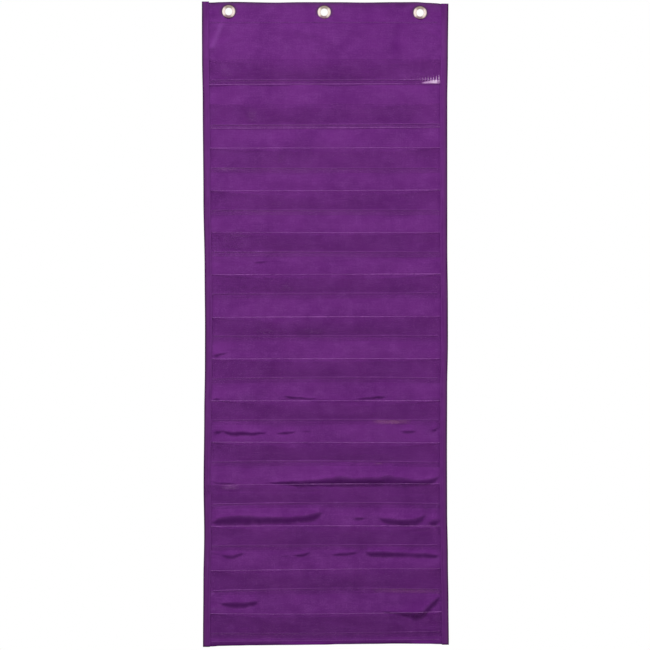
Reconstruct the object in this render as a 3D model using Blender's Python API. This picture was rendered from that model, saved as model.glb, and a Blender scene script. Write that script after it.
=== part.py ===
# A hanging pocket chart: one purple cloth with hemmed ends, fourteen clear vinyl pocket
# strips sewn across it, a folded tape bound down each side, and three grommets to hang it by.
#
# Frame: +Z up, the front faces -Y, and the wall is the plane y = 0. The origin is the
# centre of the middle grommet's hole, on the wall. Depths below are distances out from
# the wall, so a depth d is y = -d.

import math

import bmesh
import bpy

# Overall sizes, in metres
CHART_WIDTH = 0.330
HEADER_DROP = 0.1038  # top edge down to the first pocket's seam
POCKET_COUNT = 14
POCKET_PITCH = 0.05715
POCKET_DEPTH = 0.0254  # seam up to the pocket's mouth
STRIP_MARGIN = 0.00635  # vinyl that hangs below the seam
MOUTH_GAPE = 0.0065  # how far the middle of a mouth stands off the cloth
SEAM_FLAT = 0.0015  # vinyl that stays flat above the seam
FOOTER_GAP = 0.0035  # last strip down to the bottom hem's raw edge

# How far the hand-guided seams wander from an even pitch, as shares of it, downwards
SEWING_DRIFT_SHARES = (0, 0.048, 0.075, 0.064, 0.047, 0.027, 0.025, 0.011, 0.002, -0.019, -0.035, -0.05, -0.013, 0.013)

# Hems, folded to the back and sewn
BOTTOM_HEM_DEPTH = 0.0070
HEM_SEAM_MARGIN = 0.0030  # raw edge to its seam
HEM_SEAM_CLEARANCE = 0.0050  # grommet flange down to the top hem's seam

# Side bindings, each one folded tape that laps both faces
BINDING_WIDTH = 0.0095
LEFT_TOP_OVERRUN = 0.0018  # tape past the cloth's top edge
RIGHT_TOP_OVERRUN = 0.0004
BOTTOM_OVERRUN = 0.0018
BINDING_SEAM_INSET = 0.0012
BINDING_SEAM_END = 0.0010  # the seam stops this far short of the tape's cut ends
LEFT_DRAW_IN = 0.0036  # the sewn edges pull in a little at mid height
RIGHT_DRAW_IN = 0.0012

# Sheet stock, thread and the clearance between things that touch
CLOTH_THICKNESS = 0.0003
TAPE_THICKNESS = 0.0004
VINYL_THICKNESS = 0.0003
THREAD_DIAMETER = 0.0004
PLY_GAP = 0.0003

# Grommets: a domed eyelet from the front, rolled over a washer at the back
GROMMET_DROP = 0.0130  # top edge down to the holes
GROMMET_INSET = 0.0275  # binding's inner edge to the outer holes
BORE_RADIUS = 0.0049
FLANGE_RADIUS = 0.0090
DOME_HEIGHT = 0.0016
GROMMET_METAL = 0.0004
LIP_RADIUS = 0.0070  # the rolled end of the barrel
LIP_HEIGHT = 0.0008
LIP_ROUND = 0.0002
WASHER_RADIUS = 0.0085
WASHER_THICKNESS = 0.0004
WASHER_BEVEL = 0.0003

# How finely the curved pieces are cut
FOLD_STEPS = 4
STRIP_COLUMNS = 14
STRIP_STEPS = 4
BINDING_STEPS = 16
RING_STEPS = 24
DOME_STEPS = 6
THREAD_SIDES_LEVEL = 1
CUT_OVERRUN = 0.0020

# Places in the frame
TOP = GROMMET_DROP
FIRST_SEAM = TOP - HEADER_DROP
LAST_SEAM = FIRST_SEAM - (POCKET_COUNT - 1) * POCKET_PITCH
BOTTOM = LAST_SEAM - STRIP_MARGIN - FOOTER_GAP - BOTTOM_HEM_DEPTH
HALF_WIDTH = CHART_WIDTH / 2
TOP_HEM_SEAM = -FLANGE_RADIUS - HEM_SEAM_CLEARANCE
TOP_HEM_EDGE = TOP_HEM_SEAM - HEM_SEAM_MARGIN
BOTTOM_HEM_EDGE = BOTTOM + BOTTOM_HEM_DEPTH
BOTTOM_HEM_SEAM = BOTTOM_HEM_EDGE - HEM_SEAM_MARGIN
GROMMET_SPACING = HALF_WIDTH - BINDING_WIDTH - GROMMET_INSET
BARREL_RADIUS = BORE_RADIUS + GROMMET_METAL
HOLE_RADIUS = BARREL_RADIUS + PLY_GAP

# Depths of the plies, counted out from the wall
WASHER_BACK = LIP_HEIGHT + PLY_GAP
WASHER_FRONT = WASHER_BACK + WASHER_THICKNESS
HEM_BACK = WASHER_FRONT + PLY_GAP
CLOTH_BACK = HEM_BACK + CLOTH_THICKNESS + PLY_GAP
CLOTH_FRONT = CLOTH_BACK + CLOTH_THICKNESS
VINYL_BACK = CLOTH_FRONT + PLY_GAP
VINYL_FRONT = VINYL_BACK + VINYL_THICKNESS
LEAF_BACK = VINYL_FRONT + PLY_GAP
LEAF_FRONT = LEAF_BACK + TAPE_THICKNESS
REAR_LEAF_FRONT = HEM_BACK - PLY_GAP
REAR_LEAF_BACK = REAR_LEAF_FRONT - TAPE_THICKNESS

# The tape's fold, on its middle surface; the cloth and the strips end at the fold's centre
FOLD_FRONT = LEAF_FRONT - TAPE_THICKNESS / 2
FOLD_BACK = REAR_LEAF_BACK + TAPE_THICKNESS / 2
FOLD_RADIUS = (FOLD_FRONT - FOLD_BACK) / 2
FOLD_CENTRE = (FOLD_FRONT + FOLD_BACK) / 2
EDGE_INSET = FOLD_RADIUS + TAPE_THICKNESS / 2


def clear_scene():
    for leftover in list(bpy.data.objects):
        bpy.data.objects.remove(leftover)


def make_material(name, colour, roughness, metallic=0.0, alpha=1.0):
    material = bpy.data.materials.new(name)
    material.use_nodes = True
    shader = material.node_tree.nodes["Principled BSDF"]
    shader.inputs["Base Color"].default_value = (*colour, 1.0)
    shader.inputs["Roughness"].default_value = roughness
    shader.inputs["Metallic"].default_value = metallic
    shader.inputs["Alpha"].default_value = alpha
    return material


def place(item, material, parent, location=(0, 0, 0)):
    """Links the object, gives it its material and sets it on the chart's empty."""
    bpy.context.scene.collection.objects.link(item)
    item.data.materials.append(material)
    item.parent = parent
    item.location = location
    return item


def side_draw(side, z):
    """How far the chart's left (-1) or right (+1) edge is drawn in at this height."""
    share = min(max((TOP - z) / (TOP - BOTTOM), 0), 1)
    draw_in = LEFT_DRAW_IN if side < 0 else RIGHT_DRAW_IN
    return draw_in * math.sin(math.pi * share) ** 2


def edge_x(side, z, inset=0):
    """The x of a line that runs down the chart, inset from its left or right edge."""
    return side * (HALF_WIDTH - side_draw(side, z) - inset)


def across(share, z, inset):
    """A place between two such lines: share 0 is on the left one and 1 on the right one."""
    left = edge_x(-1, z, inset)
    return left + share * (edge_x(1, z, inset) - left)


def seam_z(row):
    return FIRST_SEAM - (row + SEWING_DRIFT_SHARES[row % len(SEWING_DRIFT_SHARES)]) * POCKET_PITCH


def make_sheet(name, rows, thickness):
    """A sheet through rows of points on its middle surface, made solid on both sides."""
    grid = bmesh.new()
    corners = [[grid.verts.new(point) for point in row] for row in rows]
    for upper, lower in zip(corners, corners[1:]):
        for i in range(len(upper) - 1):
            grid.faces.new((upper[i], lower[i], lower[i + 1], upper[i + 1]))
    bmesh.ops.recalc_face_normals(grid, faces=grid.faces)
    mesh = bpy.data.meshes.new(name)
    grid.to_mesh(mesh)
    grid.free()
    mesh.shade_smooth()
    sheet = bpy.data.objects.new(name, mesh)
    solidify = sheet.modifiers.new("thickness", "SOLIDIFY")
    solidify.thickness = thickness
    solidify.offset = 0
    solidify.use_even_offset = True
    return sheet


def make_thread(name, points):
    """A run of sewing thread along a line of points."""
    curve = bpy.data.curves.new(name, "CURVE")
    curve.dimensions = "3D"
    curve.bevel_depth = THREAD_DIAMETER / 2
    curve.bevel_resolution = THREAD_SIDES_LEVEL
    curve.use_fill_caps = True
    spline = curve.splines.new("POLY")
    spline.points.add(len(points) - 1)
    for knot, point in zip(spline.points, points):
        knot.co = (*point, 1)
    return bpy.data.objects.new(name, curve)


def make_ring(name, section):
    """A ring turned about the Y axis from a closed section of (radius, depth) points."""
    turned = bmesh.new()
    corners = [turned.verts.new((radius, -depth, 0)) for radius, depth in section]
    sides = [turned.edges.new((corners[i - 1], corners[i])) for i in range(len(corners))]
    bmesh.ops.spin(
        turned,
        geom=corners + sides,
        axis=(0, 1, 0),
        cent=(0, 0, 0),
        steps=RING_STEPS,
        angle=2 * math.pi,
        use_merge=True,
    )
    bmesh.ops.remove_doubles(turned, verts=turned.verts, dist=LIP_ROUND / RING_STEPS)
    bmesh.ops.recalc_face_normals(turned, faces=turned.faces)
    mesh = bpy.data.meshes.new(name)
    turned.to_mesh(mesh)
    turned.free()
    mesh.shade_smooth()
    mesh.set_sharp_from_angle(angle=math.radians(40))
    return bpy.data.objects.new(name, mesh)


def fold_arc(centre, start_depth, end_depth, reach):
    """Points round a fold in the cloth: heights past the fold line, paired with depths."""
    middle = (start_depth + end_depth) / 2
    radius = (start_depth - end_depth) / 2
    turns = [math.pi * step / FOLD_STEPS for step in range(1, FOLD_STEPS)]
    return [(centre + reach * math.sin(turn), middle + radius * math.cos(turn)) for turn in turns]


def cloth_path():
    """The cloth's middle surface seen from the side, from the top hem's raw edge over the top,
    down the front and round into the bottom hem, as (z, depth) pairs."""
    front = CLOTH_BACK + CLOTH_THICKNESS / 2
    back = HEM_BACK + CLOTH_THICKNESS / 2
    reach = (front - back) / 2
    top_fold = TOP - CLOTH_THICKNESS / 2 - reach
    bottom_fold = BOTTOM + CLOTH_THICKNESS / 2 + reach
    path = [(TOP_HEM_EDGE, back), (top_fold, back)]
    path += fold_arc(top_fold, back, front, reach)
    path += [(top_fold, front)]
    path += [(seam_z(row), front) for row in range(POCKET_COUNT)]
    path += [(bottom_fold, front)]
    path += fold_arc(bottom_fold, front, back, -reach)
    path += [(bottom_fold, back), (BOTTOM_HEM_EDGE, back)]
    return path


def make_cloth(parent, material):
    """The backing: a single cloth with a deep top hem, a narrow bottom hem and three holes."""
    rows = [[(edge_x(side, z, EDGE_INSET), -depth, z) for side in (-1, 1)] for z, depth in cloth_path()]
    cloth = place(make_sheet("backing_cloth", rows, CLOTH_THICKNESS), material, parent)
    for side in (-1, 0, 1):
        punch = make_punch(side * GROMMET_SPACING)
        cut = cloth.modifiers.new("grommet_hole", "BOOLEAN")
        cut.object = punch
        cut.operation = "DIFFERENCE"
        punch.parent = parent


def make_punch(x):
    """The cutter for one grommet's hole through the doubled cloth."""
    length = CLOTH_FRONT - HEM_BACK + 2 * CUT_OVERRUN
    round_bar = bmesh.new()
    bmesh.ops.create_cone(
        round_bar, cap_ends=True, segments=RING_STEPS, radius1=HOLE_RADIUS, radius2=HOLE_RADIUS, depth=length
    )
    mesh = bpy.data.meshes.new("hole_punch")
    round_bar.to_mesh(mesh)
    round_bar.free()
    punch = bpy.data.objects.new("hole_punch", mesh)
    bpy.context.scene.collection.objects.link(punch)
    punch.location = (x, -(CLOTH_FRONT + HEM_BACK) / 2, 0)
    punch.rotation_euler = (math.pi / 2, 0, 0)
    punch.hide_render = True
    punch.display_type = "WIRE"
    return punch


def mouth_rise(height):
    """The share of the gape at a height above the seam: flat at the seam, full at the mouth."""
    share = max(height - SEAM_FLAT, 0) / (POCKET_DEPTH - SEAM_FLAT)
    return math.sin(math.pi / 2 * share)


def strip_heights():
    """Heights above the seam at which a strip bends."""
    rise = [SEAM_FLAT + (POCKET_DEPTH - SEAM_FLAT) * step / STRIP_STEPS for step in range(STRIP_STEPS + 1)]
    return [-STRIP_MARGIN] + rise


def make_pocket_front(row, parent, material):
    """One clear vinyl strip. Its ends lie flat under the bindings, and between them it bows
    forward towards its mouth, so that a card can slip in behind it."""
    rows = []
    for height in strip_heights():
        z = seam_z(row) + height
        points = [(edge_x(-1, z, EDGE_INSET), 0, height)]
        for column in range(STRIP_COLUMNS + 1):
            share = column / STRIP_COLUMNS
            bow = 1 - abs(2 * share - 1) ** 3
            points.append((across(share, z, BINDING_WIDTH), -MOUTH_GAPE * bow * mouth_rise(height), height))
        points.append((edge_x(1, z, EDGE_INSET), 0, height))
        rows.append(points)
    strip = make_sheet(f"pocket_front_{row + 1:02d}", rows, VINYL_THICKNESS)
    return place(strip, material, parent, (0, -VINYL_BACK - VINYL_THICKNESS / 2, seam_z(row)))


def make_seam(name, z, front, back, parent, material):
    """A lockstitched seam across the chart: the needle thread in front, the bobbin thread behind."""
    ends = [across(share, z, BINDING_WIDTH) + inward * PLY_GAP for share, inward in ((0, 1), (1, -1))]
    run = [(end, 0, 0) for end in ends]
    reach = PLY_GAP + THREAD_DIAMETER / 2
    place(make_thread(f"{name}_needle_thread", run), material, parent, (0, -front - reach, z))
    place(make_thread(f"{name}_bobbin_thread", run), material, parent, (0, -back + reach, z))


def make_binding(name, side, parent, material, thread):
    """A tape folded over one side of the chart, with the lockstitched seam that holds it."""
    inner = BINDING_WIDTH
    section = [(inner, FOLD_FRONT)]
    for step in range(FOLD_STEPS + 1):
        turn = math.pi * step / FOLD_STEPS
        bulge = FOLD_RADIUS * math.sin(turn)
        section.append((EDGE_INSET - bulge, FOLD_CENTRE + FOLD_RADIUS * math.cos(turn)))
    section.append((inner, FOLD_BACK))
    low = BOTTOM - BOTTOM_OVERRUN
    high = TOP + (LEFT_TOP_OVERRUN if side < 0 else RIGHT_TOP_OVERRUN)
    levels = [low + (high - low) * step / BINDING_STEPS for step in range(BINDING_STEPS + 1)]
    rows = [[(edge_x(side, z, inset), -depth, z) for inset, depth in section] for z in levels]
    place(make_sheet(f"{name}_binding", rows, TAPE_THICKNESS), material, parent)
    sewn = [low + BINDING_SEAM_END] + levels[1:-1] + [high - BINDING_SEAM_END]
    line = [(edge_x(side, z, inner - BINDING_SEAM_INSET), 0, z) for z in sewn]
    reach = PLY_GAP + THREAD_DIAMETER / 2
    needle = make_thread(f"{name}_binding_needle_thread", line)
    bobbin = make_thread(f"{name}_binding_bobbin_thread", line)
    place(needle, thread, parent, (0, -LEAF_FRONT - reach, 0))
    place(bobbin, thread, parent, (0, -REAR_LEAF_BACK + reach, 0))


def half_oval(inner, outer, base, height, turns):
    """Points of a half oval that stands on base between two radii."""
    middle, reach = (inner + outer) / 2, (outer - inner) / 2
    return [(middle + reach * math.cos(turn), base + height * math.sin(turn)) for turn in turns]


def make_grommet(name, x, parent, material):
    """An eyelet, whose domed flange and barrel are one pressing, and the washer that its
    rolled lip holds against the hem. The lip's pressed back is what meets the wall."""
    base = CLOTH_FRONT + PLY_GAP
    turns = [math.pi * step / DOME_STEPS for step in range(DOME_STEPS + 1)]
    crown = half_oval(BORE_RADIUS, FLANGE_RADIUS, base, DOME_HEIGHT, turns)
    under = half_oval(
        BARREL_RADIUS, FLANGE_RADIUS - GROMMET_METAL, base, DOME_HEIGHT - GROMMET_METAL, reversed(turns)
    )
    lip = [
        (BORE_RADIUS, LIP_ROUND),
        (BORE_RADIUS + LIP_ROUND, 0),
        (LIP_RADIUS - LIP_ROUND, 0),
        (LIP_RADIUS, LIP_ROUND),
        (LIP_RADIUS, LIP_HEIGHT - LIP_ROUND),
        (LIP_RADIUS - LIP_ROUND, LIP_HEIGHT),
        (BARREL_RADIUS, LIP_HEIGHT),
    ]
    eyelet = make_ring(f"{name}_grommet_eyelet", crown + lip + under)
    place(eyelet, material, parent, (x, 0, 0))
    washer = make_ring(
        f"{name}_grommet_washer",
        [
            (HOLE_RADIUS, WASHER_FRONT),
            (WASHER_RADIUS, WASHER_FRONT),
            (WASHER_RADIUS - WASHER_BEVEL, WASHER_BACK),
            (HOLE_RADIUS, WASHER_BACK),
        ],
    )
    place(washer, material, parent, (x, 0, 0))


def main():
    clear_scene()
    cloth = make_material("purple_nylon", (0.150, 0.028, 0.204), 0.62)
    tape = make_material("binding_tape", (0.130, 0.024, 0.185), 0.66)
    vinyl = make_material("clear_vinyl", (0.90, 0.89, 0.93), 0.12, alpha=0.18)
    brass = make_material("pale_brass", (0.80, 0.66, 0.42), 0.28, metallic=1.0)
    thread = make_material("purple_thread", (0.185, 0.050, 0.235), 0.70)

    chart = bpy.data.objects.new("pocket_chart", None)
    bpy.context.scene.collection.objects.link(chart)

    make_cloth(chart, cloth)
    for row in range(POCKET_COUNT):
        make_pocket_front(row, chart, vinyl)
        make_seam(f"pocket_seam_{row + 1:02d}", seam_z(row), VINYL_FRONT, CLOTH_BACK, chart, thread)
    make_seam("top_hem_seam", TOP_HEM_SEAM, CLOTH_FRONT, HEM_BACK, chart, thread)
    make_seam("bottom_hem_seam", BOTTOM_HEM_SEAM, CLOTH_FRONT, HEM_BACK, chart, thread)
    make_binding("left", -1, chart, tape, thread)
    make_binding("right", 1, chart, tape, thread)
    for name, side in (("left", -1), ("centre", 0), ("right", 1)):
        make_grommet(name, side * GROMMET_SPACING, chart, brass)


main()
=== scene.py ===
import functools
import math

import bpy
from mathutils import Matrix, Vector, noise


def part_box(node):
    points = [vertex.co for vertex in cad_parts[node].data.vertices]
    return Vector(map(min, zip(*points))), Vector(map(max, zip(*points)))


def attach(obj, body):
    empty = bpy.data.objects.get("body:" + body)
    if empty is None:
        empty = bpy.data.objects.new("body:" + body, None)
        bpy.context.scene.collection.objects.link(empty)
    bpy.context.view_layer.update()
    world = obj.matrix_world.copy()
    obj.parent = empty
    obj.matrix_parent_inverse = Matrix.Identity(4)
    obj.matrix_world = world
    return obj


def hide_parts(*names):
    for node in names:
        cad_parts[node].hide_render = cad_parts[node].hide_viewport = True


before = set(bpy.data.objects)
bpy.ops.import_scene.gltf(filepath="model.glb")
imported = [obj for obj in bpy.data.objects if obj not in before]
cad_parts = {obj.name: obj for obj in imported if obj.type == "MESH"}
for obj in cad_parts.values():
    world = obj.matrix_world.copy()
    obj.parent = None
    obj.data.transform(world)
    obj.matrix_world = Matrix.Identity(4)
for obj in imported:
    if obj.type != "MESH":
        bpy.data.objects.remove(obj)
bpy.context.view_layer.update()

# The picture is square on, so one pixel is the same length everywhere on the chart's front
photo = {
    "pixel": 0.0013452,
    "middle": 325,  # half the picture's width and height
    "centreAcross": 325.4,  # the chart's middle
    "grommetDown": 12.014,  # the middle grommet, where z is 0
}


def acrossAt(pixel):
    return (pixel - photo["centreAcross"]) * photo["pixel"]


def heightAt(pixel):
    return (photo["grommetDown"] - pixel) * photo["pixel"]


def pixelAcross(x):
    return x / photo["pixel"] + photo["centreAcross"]


def pixelDown(z):
    return photo["grommetDown"] - z / photo["pixel"]


def clamp(value, low=0, high=1):
    return min(max(value, low), high)


def smooth(share):
    return share * share * (3 - 2 * share)


def between(low, high, value):  # 0 up to low, 1 from high, smooth between
    return smooth(clamp((value - low) / (high - low)))


def throughKnots(knots, at):  # a smooth line through given (place, value) knots
    if at <= knots[0][0]:
        return knots[0][1]
    for (start, first), (end, second) in zip(knots, knots[1:]):
        if at <= end:
            return first + (second - first) * smooth((at - start) / (end - start))
    return knots[-1][1]


def distances(path):  # how far along a flat path each of its points is
    along = [0]
    for (x, y), (nextX, nextY) in zip(path, path[1:]):
        along.append(along[-1] + math.hypot(nextX - x, nextY - y))
    return along


def ripple(x, z, seed):  # a steady random wave between -1 and 1
    return noise.noise(Vector((x, z, seed)))


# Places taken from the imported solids
pocketCount = 14
pocketNames = [f"pocket_front_{number:02d}" for number in range(1, pocketCount + 1)]
seamHeights = []
hemHeights = {}
for number in range(1, pocketCount + 1):
    low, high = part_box(f"pocket_seam_{number:02d}_needle_thread")
    seamHeights.append((low[2] + high[2]) / 2)
for end in ("top", "bottom"):
    low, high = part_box(f"{end}_hem_seam_needle_thread")
    hemHeights[end] = (low[2] + high[2]) / 2
clothLow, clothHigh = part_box("backing_cloth")
print("layout: first seam", round(seamHeights[0], 4), "last seam", round(seamHeights[-1], 4))

# How each sewn row tilts and sags: pixels down the picture at the left, in the middle and at the right
sewing = {
    "middleAcross": 326.5, "rightAcross": 421,  # the left place is as far from the middle as the right one
    "seams": (
        (79.8, 79.5, 79.3), (124.4, 124.1, 123.4), (167.4, 167.7, 167.6), (209.7, 209.7, 209.7),
        (251.3, 251.4, 251.7), (293.2, 293.1, 292.8), (335.5, 335.5, 335.5), (377.9, 377.0, 377.5),
        (419.5, 419.3, 419.6), (461.0, 460.8, 461.7), (503.5, 502.4, 503.0), (545.1, 544.7, 544.6),
        (589.9, 588.2, 588.5), (632.8, 632.8, 631.4)),
    "mouths": (
        (59.8, 59.6, 59.4), (104.6, 104.5, 103.6), (147.9, 147.9, 147.4), (190.6, 190.5, 189.9),
        (232.1, 232.5, 232.2), (274.4, 274.1, 273.8), (317.1, 316.6, 316.3), (358.7, 358.4, 358.3),
        (400.6, 400.5, 400.5), (441.9, 442.0, 442.5), (484.7, 483.7, 483.5), (525.9, 525.4, 525.7),
        (570.1, 568.8, 568.3), (613.5, 613.4, 612.0)),
    "topHem": (22.4, 22.4, 22.4), "bottomHem": (641.5, 640.5, 639.5),
    "depth": 0.0254, "margin": 0.00635,  # a strip's reach above its seam and below it
    "margins": {1: 0.98, 2: 0.82},  # strips sewn nearer to their lower edge
}


def bentLine(values, x):  # the height of a line through three heights down the picture
    left, middle, right = values
    reach = sewing["rightAcross"] - sewing["middleAcross"]
    share = clamp((pixelAcross(x) - sewing["middleAcross"]) / reach, -1.25, 1.25)
    return heightAt(middle + share * (right - left) / 2 + share * share * ((right + left) / 2 - middle))


def leftToRight(values, x):  # straight from the left value to the middle one, and on to the right one
    left, middle, right = values
    side = clamp(x / acrossAt(sewing["rightAcross"]), -1, 1)
    return middle + (right - middle) * side if side > 0 else middle + (middle - left) * side


@functools.lru_cache(maxsize=None)
def rowLine(kind, number, spot):
    return bentLine(sewing[kind][number - 1], spot)


def seamAt(number, x):
    return rowLine("seams", number, round(x, 4))


def stripHeight(number, x, height):  # a height over a strip's own seam as a height on the chart
    seam = seamAt(number, x)
    if height > 0:
        return seam + height / sewing["depth"] * (rowLine("mouths", number, round(x, 4)) - seam)
    return seam + height * sewing["margins"].get(number, 1)


# The chart's uneven outline in pixels: down and across for its sides, across and down for its ends
outline = {
    "left": ((2, 201.8), (30, 201.8), (54, 201.9), (102, 202.6), (198, 203.3), (270, 204.5), (330, 204.9),
             (366, 204.8), (414, 204.15), (486, 203.5), (534, 204.1), (582, 203.3), (645, 202.9)),
    "right": ((2, 448.5), (54, 448.0), (102, 447.4), (246, 447.45), (306, 448.0), (342, 448.05), (390, 447.3),
              (450, 447.1), (510, 447.25), (558, 448.0), (606, 448.6), (645, 448.9)),
    "top": ((202, 2.5), (212, 2.4), (220, 2.0), (232, 1.75), (276, 2.45), (300, 2.05), (340, 2.1),
            (364, 2.4), (396, 2.05), (416, 1.95), (428, 2.65), (436, 3.1), (442, 3.75), (448, 3.7)),
    "bottom": ((202, 646.7), (212, 646.6), (220, 646.0), (236, 645.7), (252, 645.4), (284, 645.1), (324, 644.75),
               (340, 644.3), (372, 644.0), (396, 643.7), (428, 643.9), (440, 644.2), (446, 644.6)),
    "tapeEnds": {-1: (1.5, 646.9), 1: (3.6, 644.7)},
    "topReach": 0.030,  # how far the unevenness of an end is felt inwards
    "bottomReach": 0.012,
}

# Depths are distances out from the wall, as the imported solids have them
plies = {
    "hem": 0.00195, "cloth": 0.00255, "film": 0.00315, "tapeFront": 0.0038, "tapeBack": 0.0013,
    "clothThickness": 0.0003, "filmThickness": 0.0003, "tapeThickness": 0.0004,
}
foldRadius = (plies["tapeFront"] - plies["tapeBack"]) / 2
foldCentre = (plies["tapeFront"] + plies["tapeBack"]) / 2
edgeInset = foldRadius + plies["tapeThickness"] / 2
tapeWidth = 0.0095


@functools.lru_cache(maxsize=None)
def edgeAt(side, z):
    knots = outline["left"] if side < 0 else outline["right"]
    return acrossAt(throughKnots(knots, pixelDown(z)))


def edgeX(side, z, inset=0):
    return edgeAt(side, round(z, 5)) - side * inset


def acrossChart(share, z, inset):
    left = edgeX(-1, z, inset)
    return left + share * (edgeX(1, z, inset) - left)


def tapeGap(x, z):  # how far a spot is from the nearer tape
    return min(x - edgeX(-1, z, tapeWidth), edgeX(1, z, tapeWidth) - x)


@functools.lru_cache(maxsize=None)
def endShift(end, x):
    pixel = throughKnots(outline[end], pixelAcross(x))
    return heightAt(pixel) - (clothHigh[2] if end == "top" else clothLow[2])


def settle(x, z):  # moves a height near the top or the bottom to the uneven end of the real cloth
    top = between(clothHigh[2] - outline["topReach"], clothHigh[2], z)
    bottom = between(clothLow[2] + outline["bottomReach"], clothLow[2], z)
    spot = round(x, 4)
    return z + top * endShift("top", spot) + bottom * endShift("bottom", spot)


def sway(x, z):  # the slow wave that the whole chart hangs in
    loose = between(0.03, 0.16, -z)
    wave = 0.7 * math.sin(7.3 * z + 2.0 * x + 0.4) + 0.5 * ripple(x * 5, z * 5, 3.7)
    return 0.0009 * loose * wave


# Where the slack cloth slumps over itself: lips as (across, down, fall) in pixels of the picture
creases = {
    "lips": (
        ((211, 356.0, 2.0), (216, 354.0, 3.4), (221, 352.8, 2.2), (229, 352.6, 0.8)),
        ((253, 262.4, 0.8), (259, 261.6, 1.6), (270, 261.4, 0.5)),
        ((211, 399.5, 1.5), (216, 397.5, 2.5), (222, 399.5, 1.0)),
        ((283, 395.5, 1.2), (290, 396.0, 2.4), (302, 397.2, 2.0), (318, 398.4, 1.0)),
        ((356, 398.0, 1.0), (372, 397.0, 2.0), (380, 395.6, 2.6), (387, 396.0, 1.0)),
        ((212, 433.0, 1.5), (217, 430.6, 3.4), (224, 430.2, 3.0)),
        ((221, 430.2, 2.6), (234, 431.2, 4.4), (252, 431.7, 3.4), (268, 432.4, 1.2)),
        ((275, 433.0, 1.4), (286, 431.4, 2.6), (297, 430.6, 1.6)),
        ((300, 430.4, 1.0), (313, 430.6, 1.2)),
        ((400, 431.6, 1.4), (408, 430.2, 3.2), (417, 430.8, 1.6)),
        ((430, 431.0, 2.0), (434, 428.6, 3.0), (440, 425.8, 2.2)),
        ((211, 482.0, 1.6), (222, 482.4, 1.4), (236, 483.0, 0.8)),
        ((268, 482.0, 1.0), (284, 481.4, 3.2), (300, 480.4, 5.6), (318, 479.0, 6.2), (330, 477.2, 8.2),
         (342, 475.6, 9.8), (355, 477.8, 7.8), (376, 476.8, 8.6), (387, 475.0, 10.2), (400, 477.0, 8.4),
         (416, 479.6, 5.6), (430, 478.4, 5.4), (440, 476.6, 4.2)),
        ((211, 523.0, 2.0), (218, 517.6, 6.4), (230, 515.6, 8.0), (246, 515.2, 8.4), (262, 516.4, 7.0),
         (284, 516.6, 6.4), (300, 515.6, 6.2), (312, 513.4, 7.0), (319, 511.6, 6.0), (323, 513.4, 2.0)),
        ((352, 517.6, 1.4), (358, 517.0, 3.2), (366, 518.2, 1.6)),
        ((378, 517.4, 3.0), (390, 517.8, 5.6), (404, 519.2, 6.0), (414, 518.8, 6.4), (421, 516.2, 5.8),
         (427, 514.0, 3.0)),
        ((427, 522.8, 2.8), (434, 518.3, 7.2), (440, 520.4, 5.2)),
        ((212, 553.8, 1.0), (221, 554.0, 1.2)),
        ((220, 554.6, 1.6), (231, 554.6, 3.8), (246, 551.8, 2.2)),
        ((280, 555.6, 0.9), (290, 555.4, 1.2)),
        ((293, 555.0, 1.6), (302, 553.8, 2.8), (312, 551.4, 1.8)),
        ((331, 554.6, 1.6), (342, 553.0, 2.8), (359, 551.8, 2.2)),
        ((364, 551.6, 3.0), (376, 551.2, 5.4), (390, 551.5, 5.2), (404, 552.3, 4.6), (424, 552.7, 4.8),
         (434, 554.0, 3.6), (440, 555.2, 2.4)),
        ((219, 603.4, 2.0), (230, 601.4, 5.2), (242, 602.4, 5.0), (254, 600.8, 4.4), (260, 600.4, 1.8)),
        ((380, 611.4, 0.8), (398, 611.6, 2.4), (408, 611.7, 5.0), (417, 612.0, 7.2), (423, 610.2, 6.6),
         (428, 605.6, 6.6), (433, 600.5, 6.6), (437, 597.2, 6.0), (441, 594.2, 4.6)),
        ((238, 632.8, 0.8), (262, 633.2, 1.4), (288, 633.6, 0.8)),
    ),
    "depths": {  # the fainter ones, by how strong each lip's painted shade is
        0: 0.6, 1: 0.6, 2: 0.8, 3: 0.65, 4: 0.65, 5: 0.85, 7: 0.75, 8: 0.5, 9: 0.6, 11: 0.5, 14: 0.6, 15: 0.75,
        16: 0.95, 17: 0.5, 18: 0.8, 19: 0.45, 20: 0.85, 21: 0.8, 24: 0.95, 25: 0.5},
    "lean": 0.36,  # how far a lip hangs forward for each part of its fall
    "spread": 1.25,
    "rise": 0.0065,  # the slope above a lip, and below its foot
    "tuck": 0.28,  # the share of the fall that goes in behind the flat
    "endFade": 0.006,
    "ragged": 0.0009, "jagged": 0.0005,  # how unevenly a lip runs, in long waves and in short ones
}
creaseLines = []
for number, knots in enumerate(creases["lips"]):
    lip = [(acrossAt(across), heightAt(down)) for across, down, fall in knots]
    fall = [(acrossAt(across), size * photo["pixel"]) for across, down, size in knots]
    reach = creases["spread"] * max(size for place, size in fall)
    high = max(z for x, z in lip) + 4 * creases["rise"]
    low = min(z for x, z in lip) - reach - 4 * creases["rise"]
    creaseLines.append((lip, fall, lip[0][0], lip[-1][0], low, high, creases["depths"].get(number, 1)))


def inMetres(lines, unit):
    return [(acrossAt(across), heightAt(down), acrossAt(toAcross), heightAt(toDown), half * unit, strength)
            for across, down, toAcross, toDown, half, strength in lines]


# Soft ridges and hollows in the header: pixels across and down, from and to, then half width and height out
ridgeLines = inMetres((
    (222, 24, 211, 48, 0.0030, 0.0008), (213, 3, 214, 18, 0.0050, -0.0005), (397, 26, 394, 50, 0.0050, -0.0005),
    (424, 28, 441, 38, 0.0028, 0.0004), (300, 30, 360, 56, 0.0080, 0.0004),
), 1)
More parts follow.
